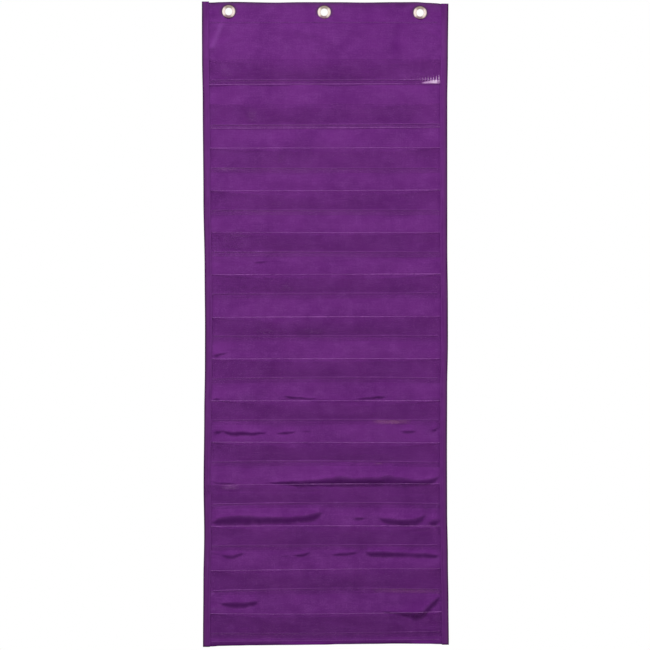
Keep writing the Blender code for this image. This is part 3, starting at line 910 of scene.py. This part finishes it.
def makeFilms():
    columns, rows = film["columns"], len(filmHeights) - 1
    pattern = gridSheet("clearPocket01", columns, rows)  # modelled once and copied
    strips = [pattern] + [copyPiece(pattern, f"clearPocket{number:02d}") for number in range(2, pocketCount + 1)]
    for number, strip in enumerate(strips, 1):
        def place(column, row):
            height = filmHeights[row]
            share = column / columns
            if number == 1:  # many of its columns go to the gathered right end
                share = share * 2.05 if share < 0.4 else 0.82 + (share - 0.4) * 0.30
            x = acrossChart(share, seamHeights[number - 1] + height, edgeInset)
            z = stripHeight(number, x, height)
            drift = 0.00016 * ripple(x * 9, number * 5.0, 2.0) + 0.00010 * ripple(x * 60, number * 5.0, 2.0)
            pressed = (1 + 130 * min(film["veils"][number - 1][1], 0)) * (1 - between(0.0005, 0.0045, height))
            pressed -= 0.45 * (number >= 10) * between(0, 0.020, height)
            marks = (rimAt(number, x, row), milkinessAndReflectionAt(number, x, height), pressed, brownTintAt(number, x, height))
            return (x, -filmOut(number, x, z, height), z + drift), (share * 0.327, height + sewing["margin"]), marks

        shapeSheet(strip, columns, rows, place, ("edge", "milkinessAndReflection", "pressed", "brownTint"))
        thicken(strip, plies["filmThickness"])
        finishPiece(strip, pocketNames[number - 1], filmMaterial)
    return strips


filmStrips = makeFilms()
print("clear strips:", len(filmStrips))

# The folded side tapes
binding = {"rows": 330, "faceSteps": 7, "foldSteps": 7, "seamInset": tapeWidth - 0.0012, "shadedEnd": 0.0026}


def bindingSection():  # (inset from the edge, depth, distance round the tape, how much painted shade the fold gets)
    section = [(tapeWidth + (edgeInset - tapeWidth) * step / binding["faceSteps"], plies["tapeFront"])
               for step in range(binding["faceSteps"])]
    for step in range(binding["foldSteps"] + 1):
        turn = math.pi * step / binding["foldSteps"]
        section.append((edgeInset - foldRadius * math.sin(turn), foldCentre + foldRadius * math.cos(turn)))
    section += [(edgeInset + (tapeWidth - edgeInset) * step / binding["faceSteps"], plies["tapeBack"])
                for step in range(1, binding["faceSteps"] + 1)]
    return [(inset, depth, along, 1 - between(0.0005, 0.0033, inset))
            for (inset, depth), along in zip(section, distances(section))]


def tapeSettle(side, z, low, high):  # brings a tape's ends to where they are in the picture
    top, bottom = outline["tapeEnds"][side]
    z += between(high - outline["topReach"], high, z) * (heightAt(top) - high)
    return z + (1 - between(low, low + outline["bottomReach"], z)) * (heightAt(bottom) - low)


def makeBinding(name, side):
    section = bindingSection()
    columns, rows = len(section) - 1, binding["rows"]
    low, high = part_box(f"{name}_binding")
    sheet = gridSheet(f"{name}Binding", columns, rows)

    def place(column, row):
        inset, depth, along, fold = section[column if side < 0 else columns - column]
        z = low[2] + (high[2] - low[2]) * row / rows
        wander = 0.00045 * ripple(z * 14, side * 2.0, 7.0) * between(0.004, tapeWidth, inset)
        x = edgeX(side, z, inset + wander)
        aside = inset - binding["seamInset"]
        puff = 0.00007 * math.cos(2 * math.pi * z / stitch["pitch"]) * math.exp(-(aside / 0.0012) ** 2)
        puff += 0.00012 * ripple(z * 60, inset * 300, side * 5.0)
        puff -= 0.00010 * math.exp(-(aside / 0.0006) ** 2)  # the thread sinks in
        lift = puff if depth > foldCentre else -puff
        # painted shade at the fold and at both ends of the tape
        ends = max(binding["shadedEnd"] - (high[2] - z), binding["shadedEnd"] - (z - low[2]), 0) / binding["shadedEnd"]
        fold = max(fold * (0.85 + 0.5 * ripple(z * 30, side * 4.0, 2.6)), 0.7 * ends)
        lit = between(0.0080, 0.0092, inset) * (0.9 - 0.5 * (side > 0))
        marks = (clamp(fold), (0.85 + 0.15 * side) * (1 - between(0.0010, 0.0070, inset)), lit)
        return (x, -(depth + sway(x, z) + lift), tapeSettle(side, z, low[2], high[2])), (along, z - low[2]), marks

    shapeSheet(sheet, columns, rows, place, ("fold", "outer", "lit"))
    thicken(sheet, plies["tapeThickness"])
    finishPiece(sheet, f"{name}_binding", tapeMaterial)
    return sheet, section[-1][2], high[2] - low[2]


bindingSheets = [makeBinding("left", -1), makeBinding("right", 1)]
print("bindings:", len(bindingSheets))


# Lockstitches: one is modelled, set out in a row, and each row is laid along its seam
def makeStitch():
    deselectAll()
    radius, pitch = stitch["radius"], stitch["pitch"]
    bpy.ops.mesh.primitive_circle_add(vertices=stitch["sides"], radius=radius * 0.6, fill_type="NGON",
                                      rotation=(0, math.pi / 2, 0), location=(pitch * 0.05, 0, 0))
    made = named("stitchPattern")
    bpy.ops.object.transform_apply(location=True, rotation=True, scale=True)
    for along, out, size in ((0.10, 0.8, 1.55), (0.25, 0.35, 1.08), (0.25, 0, 1.0), (0.25, -0.35, 0.93),
                             (0.10, -0.8, 0.62)):
        bpy.ops.object.mode_set(mode="EDIT")
        bpy.ops.mesh.extrude_region_move(
            TRANSFORM_OT_translate={"value": (along * pitch, -out * stitch["dip"], 0)})
        bpy.ops.transform.resize(value=(1, size, size))
        bpy.ops.object.mode_set(mode="OBJECT")
    bpy.ops.object.mode_set(mode="EDIT")
    bpy.ops.mesh.select_all(action="SELECT")
    bpy.ops.mesh.normals_make_consistent(inside=False)
    bpy.ops.object.mode_set(mode="OBJECT")
    bpy.ops.object.shade_smooth()
    return made


stitchPattern = makeStitch()


def layStitches(name, node, length, lay, seed, shine=None, lead=None):
    row = copyPiece(stitchPattern, name)
    pitch = stitch["pitch"]
    count = int(length / pitch) - (lead is not None)
    applyModifier(row, "ARRAY", count=count, use_relative_offset=False, use_constant_offset=True,
                  constant_offset_displace=(pitch, 0, 0))
    start = (length - count * pitch) / 2 if lead is None else lead
    glints = []
    for corner in row.data.vertices:
        number = int(corner.co.x / pitch)
        wearAndShade = 0.55 * ripple(number * 0.061, seed, 4.0) + 0.75 * ripple(number * 0.83, seed, 9.0)
        inside = corner.co.x / pitch - number - 0.5
        along = start + corner.co.x
        # a stitch shines most at its middle
        glints.append(shine(along, between(0.1, 0.6, wearAndShade)) * (1 - 3.4 * inside * inside) if shine else 0)
        slant = (0.10 + 0.10 * ripple(number * 0.7, seed, 1.0)) * inside * pitch
        corner.co = lay(along, corner.co.y, corner.co.z + slant)
    setMark(row, "glint", glints)
    finishPiece(row, node, threadMaterial)


def makeSeam(name, node, heights, frontOf, backOf, seed, shine=None):
    # a row across the chart: the needle thread in front and the bobbin thread behind
    middle = heightAt(heights[1])
    start = edgeX(-1, middle, tapeWidth) + 0.0003
    length = edgeX(1, middle, tapeWidth) - 0.0003 - start

    def run(along):
        x = start + along
        return x, bentLine(heights, x) + 0.00014 * ripple(x * 16, seed, 4.4)

    def front(along, depth, up):
        x, z = run(along)
        return (x, -frontOf(x, z) + depth, z + up)

    def back(along, depth, up):
        x, z = run(along)
        return (x, -backOf(x, z) - depth, z + up)

    lead = (beatAcross - start - stitch["pitch"] / 2 + 0.37 * seed * stitch["pitch"]) % stitch["pitch"]
    layStitches(f"{name}NeedleThread", f"{node}_needle_thread", length, front, seed,
                shine and (lambda along, wearAndShade: shine(start + along, wearAndShade)), lead)
    layStitches(f"{name}BobbinThread", f"{node}_bobbin_thread", length, back, seed + 0.5)


brightRuns = (  # stitches that shine: seam, from, to, how much more
    (1, 278, 287, 5), (1, 363, 371, 7), (3, 217, 226, 4), (3, 314, 330, 4), (4, 280, 291, 7), (4, 305, 309, 6),
    (5, 231, 241, 9), (5, 254, 263, 8), (5, 356, 363, 5), (6, 415, 425, 7), (7, 323, 329, 6), (7, 426, 433, 8),
    (9, 378, 384, 7), (11, 333, 338, 7), (11, 386, 396, 6), (12, 345, 356, 6), (12, 367, 372, 5),
    (12, 424, 435, 5), (13, 349, 354, 6), (13, 374, 379, 6), (14, 244, 250, 5), (14, 321, 324, 7),
    (14, 342, 357, 5), (14, 392, 416, 7),
)
seamShines = (  # each pocket seam at its left, middle and right
    (6.0, 5.2, 9), (4.7, 7, 7), (2.4, 1.7, 0.3), (1.2, 2.1, 1.6), (9.5, 5.2, 4.1), (8, 11, 2.8), (3.6, 5.8, 5.8),
    (2.8, 9, 10.5), (3.0, 8.8, 4.0), (7, 17, 4.4), (20, 5.8, 9.5), (8.5, 2.8, 7.7), (19, 1.4, 3.0), (2.4, 1.5, 2.0),
)


def seamShine(number, x, wearAndShade):  # how brightly a stitch catches the light
    level = leftToRight(seamShines[number - 1], x)
    if number == 1:
        across = pixelAcross(x)
        level += 9 * puckerAt(1, x, 0)[0] + 5 * between(399, 402, across) * (1 - between(424, 430, across))
    for seam, start, end, more in brightRuns:
        if seam == number:
            level += more * between(acrossAt(start), acrossAt(start + 2), x) * between(
                acrossAt(end), acrossAt(end - 2), x)
    return min(0.066 * level * (0.5 + wearAndShade), 1)


thin = plies["clothThickness"] / 2
for number, heights in enumerate(sewing["seams"], 1):
    makeSeam(f"pocketSeam{number:02d}", f"pocket_seam_{number:02d}", heights,
             lambda x, z: filmOut(number, x, z, 0) + plies["filmThickness"] / 2 + 0.00004,
             lambda x, z: clothOut(x, z)[0] - thin - 0.00010, number * 1.3,
             lambda x, wearAndShade: seamShine(number, x, wearAndShade))
for end, seed in (("top", 21.0), ("bottom", 23.0)):
    makeSeam(f"{end}HemSeam", f"{end}_hem_seam", sewing[f"{end}Hem"], lambda x, z: clothOut(x, z)[0] + thin + 0.00002,
             lambda x, z: plies["hem"] + sway(x, z) - thin - 0.00010, seed, lambda x, wearAndShade: 0.30 + 0.1 * wearAndShade)


def makeBindingSeam(name, side):
    low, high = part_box(f"{name}_binding_needle_thread")
    tapeLow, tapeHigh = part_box(f"{name}_binding")
    base, length = low[2] + 0.0004, high[2] - low[2] - 0.0008

    def run(z, up):
        x = edgeX(side, z, binding["seamInset"] + 0.00012 * ripple(z * 30, side, 3.0))
        return x + up, tapeSettle(side, z, tapeLow[2], tapeHigh[2])

    def front(along, depth, up):
        x, z = run(base + along, up)
        return (x, -(plies["tapeFront"] + plies["tapeThickness"] / 2 + sway(x, z)) + depth + 0.00004, z)

    def back(along, depth, up):
        x, z = run(base + along, up)
        return (x, -(plies["tapeBack"] - plies["tapeThickness"] / 2 + sway(x, z)) - depth - 0.00004, z)

    layStitches(f"{name}BindingNeedleThread", f"{name}_binding_needle_thread", length, front, side * 3.0)
    layStitches(f"{name}BindingBobbinThread", f"{name}_binding_bobbin_thread", length, back, side * 4.0)


makeBindingSeam("left", -1)
makeBindingSeam("right", 1)
bpy.data.objects.remove(stitchPattern)
print("seams stitched")


# Grommets, turned ring by ring from the front of the flange to the rolled lip behind
def turnRing(name, profile):
    deselectAll()
    first = profile[0]
    bpy.ops.mesh.primitive_circle_add(vertices=grommet["segments"], radius=first[0], rotation=(math.pi / 2, 0, 0),
                                      location=(0, -first[1], 0))
    ring = named(name)
    bpy.ops.object.transform_apply(location=True, rotation=True, scale=True)
    bpy.ops.object.mode_set(mode="EDIT")
    for (radius, depth), (nextRadius, nextDepth) in zip(profile, profile[1:]):
        bpy.ops.mesh.extrude_region_move(TRANSFORM_OT_translate={"value": (0, depth - nextDepth, 0)})
        grow = nextRadius / radius
        bpy.ops.transform.resize(value=(grow, 1, grow))
    selectCorners(ring, lambda corner: any(
        abs(math.hypot(corner.x, corner.z) - end[0]) < 1e-6 and abs(corner.y + end[1]) < 1e-6
        for end in (first, profile[-1])))
    bpy.ops.mesh.bridge_edge_loops()
    bpy.ops.mesh.select_all(action="SELECT")
    bpy.ops.mesh.normals_make_consistent(inside=False)
    bpy.ops.object.mode_set(mode="OBJECT")
    bpy.ops.object.shade_smooth_by_angle(angle=math.radians(42))
    return ring


eyelet = {
    "bore": 0.0049, "flange": 0.0091, "seat": 0.0030, "dome": 0.0010, "metal": 0.0004,
    "lip": 0.0059, "lipReach": 0.0009, "lipDepth": 0.0004,
}


def eyeletProfile():
    bore, flange, seat, dome, metal, lip, lipReach, lipDepth = eyelet.values()
    middle, reach = (bore + flange) / 2, (flange - bore) / 2
    profile = []
    for step in range(13):  # over the dome, from the flange's edge to the throat
        turn = math.pi * step / 12
        profile.append((middle + reach * math.cos(turn), seat - 0.0003 + (dome + 0.0003) * math.sin(turn) ** 0.85))
    profile += [(bore, 0.0016), (bore + 0.00005, 0.0006), (bore + 0.0003, 0.00015)]
    for step in range(9):  # the lip, rolled out against the washer
        turn = math.pi * step / 8
        profile.append((lip + lipReach * math.sin(turn) + 0.00005 * step, lipDepth - lipDepth * math.cos(turn)))
    profile += [(bore + metal, 0.00095), (bore + metal, seat - 0.0002)]
    for step in range(9):  # back under the dome
        turn = math.pi * (1 - step / 8)
        profile.append((middle + (reach - metal) * math.cos(turn),
                        seat - 0.0002 + (dome - metal) * math.sin(turn) ** 0.85))
    return profile


def washerProfile():
    return [(0.0057, 0.00150), (0.0070, 0.00152), (0.0082, 0.00150), (0.0085, 0.00138), (0.0085, 0.00126),
            (0.0081, 0.00114), (0.0070, 0.00110), (0.0057, 0.00110)]


def placeRing(ring, spot, node, seed):
    patinaAndReflections, paintedShadeTints = [], []
    for corner in ring.data.vertices:
        radius = math.hypot(corner.co.x, corner.co.z)
        up, side = corner.co.z / max(radius, 1e-6), corner.co.x / max(radius, 1e-6)
        # patina in the throat and at the flange's edge; painted shade and reflection at the right side, below and at
        # the top
        inner = between(0.0062, 0.0050, radius)
        outer = between(0.0081, 0.0092, radius) * (1 - 0.35 * between(0.3, 0.9, -up))
        aside = between(0.4, 0.95, side) * between(0.0066, 0.0078, radius)
        low = between(0.45, 0.92, -up) * (1 - 0.7 * between(0.2, 0.75, side))  # painted shade and reflection below, less at the right side
        high = between(0.45, 0.92, up)
        patinaAndReflections.append(0.24 * inner + 0.66 * outer + 0.20 * aside +
                         low * (0.80 - 0.66 * inner + 0.15 * outer) + high * (0.68 - 0.60 * inner))
        # where the dark part takes the painted purple reflection of the cloth: below and at the flange's edge
        paintedShadeTints.append(max(low, outer))
        corner.co.y += 0.00004 * ripple(corner.co.x * 300, corner.co.z * 300, seed)
        corner.co.x += spot[0]
        corner.co.z += spot[1]
    setMark(ring, "patinaAndReflection", patinaAndReflections)
    setMark(ring, "paintedShadeTint", paintedShadeTints)
    finishPiece(ring, node, brassMaterial)


patterns = {"Eyelet": turnRing("leftEyelet", eyeletProfile()), "Washer": turnRing("leftWasher", washerProfile())}
for kind, pattern in patterns.items():
    rings = [pattern, copyPiece(pattern, f"centre{kind}"), copyPiece(pattern, f"right{kind}")]
    for seed, (name, ring) in enumerate(zip(grommetPlaces, rings)):
        placeRing(ring, grommetPlaces[name], f"{name}_grommet_{kind.lower()}", seed + 0.5)
print("grommets turned")

# Studio: a pale floor below, white all round for the camera and for shine, soft light from above
studio = {
    "floor": -1.3, "floorSize": 4.6, "ambient": 0.25,
    "keyPower": 188, "keyPlace": (-0.35, -2.2, 3.0), "keySize": 1.1, "aim": (0, 0, -0.42),
    "lens": 200, "sensor": 36,
}


def makeFloor():
    deselectAll()
    bpy.ops.mesh.primitive_circle_add(vertices=96, radius=studio["floorSize"] / 2, fill_type="NGON",
                                      location=(0, 0, studio["floor"]))
    floor = named("studioFloor")
    finish = Finish("paleFloor", Roughness=0.9, Specular_IOR_Level=0.1)
    spot = finish.place()
    x, y = finish.parted(spot)
    away = (((x * x + y * y) ** 0.5 - 0.6) * 0.75).clamped()
    speck = finish.noise(spot, 40.0, 3.0)
    finish.set("Base Color", finish.blend(speck, (0.66, 0.66, 0.66), (0.72, 0.72, 0.72)))
    camera = finish.node("ShaderNodeLightPath", output=0)
    white = finish.node("ShaderNodeEmission", inputs={"Color": (1, 1, 1, 1), "Strength": 1.0})
    mixed = finish.node("ShaderNodeMixShader", inputs={
        0: away * camera, 1: Wire(finish, finish.shader.outputs[0]), 2: white})
    finish.tree.links.new(mixed.socket, finish.tree.nodes["Material Output"].inputs[0])
    floor.data.materials.append(finish.material)


def makeWorld():
    world = bpy.data.worlds.new("whiteStudio")
    bpy.context.scene.world = world
    world.use_nodes = True
    tree = world.node_tree
    tree.nodes.clear()
    rays = tree.nodes.new("ShaderNodeLightPath").outputs
    seen = rays["Is Camera Ray"]
    for kind in ("Is Glossy Ray", "Is Transmission Ray"):
        either = tree.nodes.new("ShaderNodeMath")
        either.operation = "MAXIMUM"
        tree.links.new(seen, either.inputs[0])
        tree.links.new(rays[kind], either.inputs[1])
        seen = either.outputs[0]
    soft, white, mix, out = (tree.nodes.new(kind) for kind in (
        "ShaderNodeBackground", "ShaderNodeBackground", "ShaderNodeMixShader", "ShaderNodeOutputWorld"))
    for light, strength in ((soft, studio["ambient"]), (white, 1.0)):
        light.inputs["Color"].default_value = (1, 1, 1, 1)
        light.inputs["Strength"].default_value = strength
    tree.links.new(seen, mix.inputs[0])
    tree.links.new(soft.outputs[0], mix.inputs[1])
    tree.links.new(white.outputs[0], mix.inputs[2])
    tree.links.new(mix.outputs[0], out.inputs[0])


def makeLamp():
    light = bpy.data.lights.new("softbox", "AREA")
    light.shape = "SQUARE"
    light.size = studio["keySize"]
    light.energy = studio["keyPower"]
    lamp = bpy.data.objects.new("softbox", light)
    lamp.location = studio["keyPlace"]
    lamp.visible_glossy = False  # shine comes from the white surroundings alone
    aim = Vector(studio["aim"]) - lamp.location
    lamp.rotation_euler = aim.to_track_quat("-Z", "Y").to_euler()
    bpy.context.collection.objects.link(lamp)


def makeCamera():
    camera = bpy.data.cameras.new("camera")
    camera.lens = studio["lens"]
    camera.sensor_width = studio["sensor"]
    camera.clip_end = 50
    distance = photo["middle"] * photo["pixel"] * camera.lens / (studio["sensor"] / 2)
    holder = bpy.data.objects.new("camera", camera)
    holder.location = (acrossAt(photo["middle"]), -distance - plies["film"], heightAt(photo["middle"]))
    holder.rotation_euler = (math.pi / 2, 0, 0)
    bpy.context.collection.objects.link(holder)
    bpy.context.scene.camera = holder


makeFloor()
makeWorld()
makeLamp()
makeCamera()
bpy.context.scene.view_settings.view_transform = "Standard"
print("studio set")
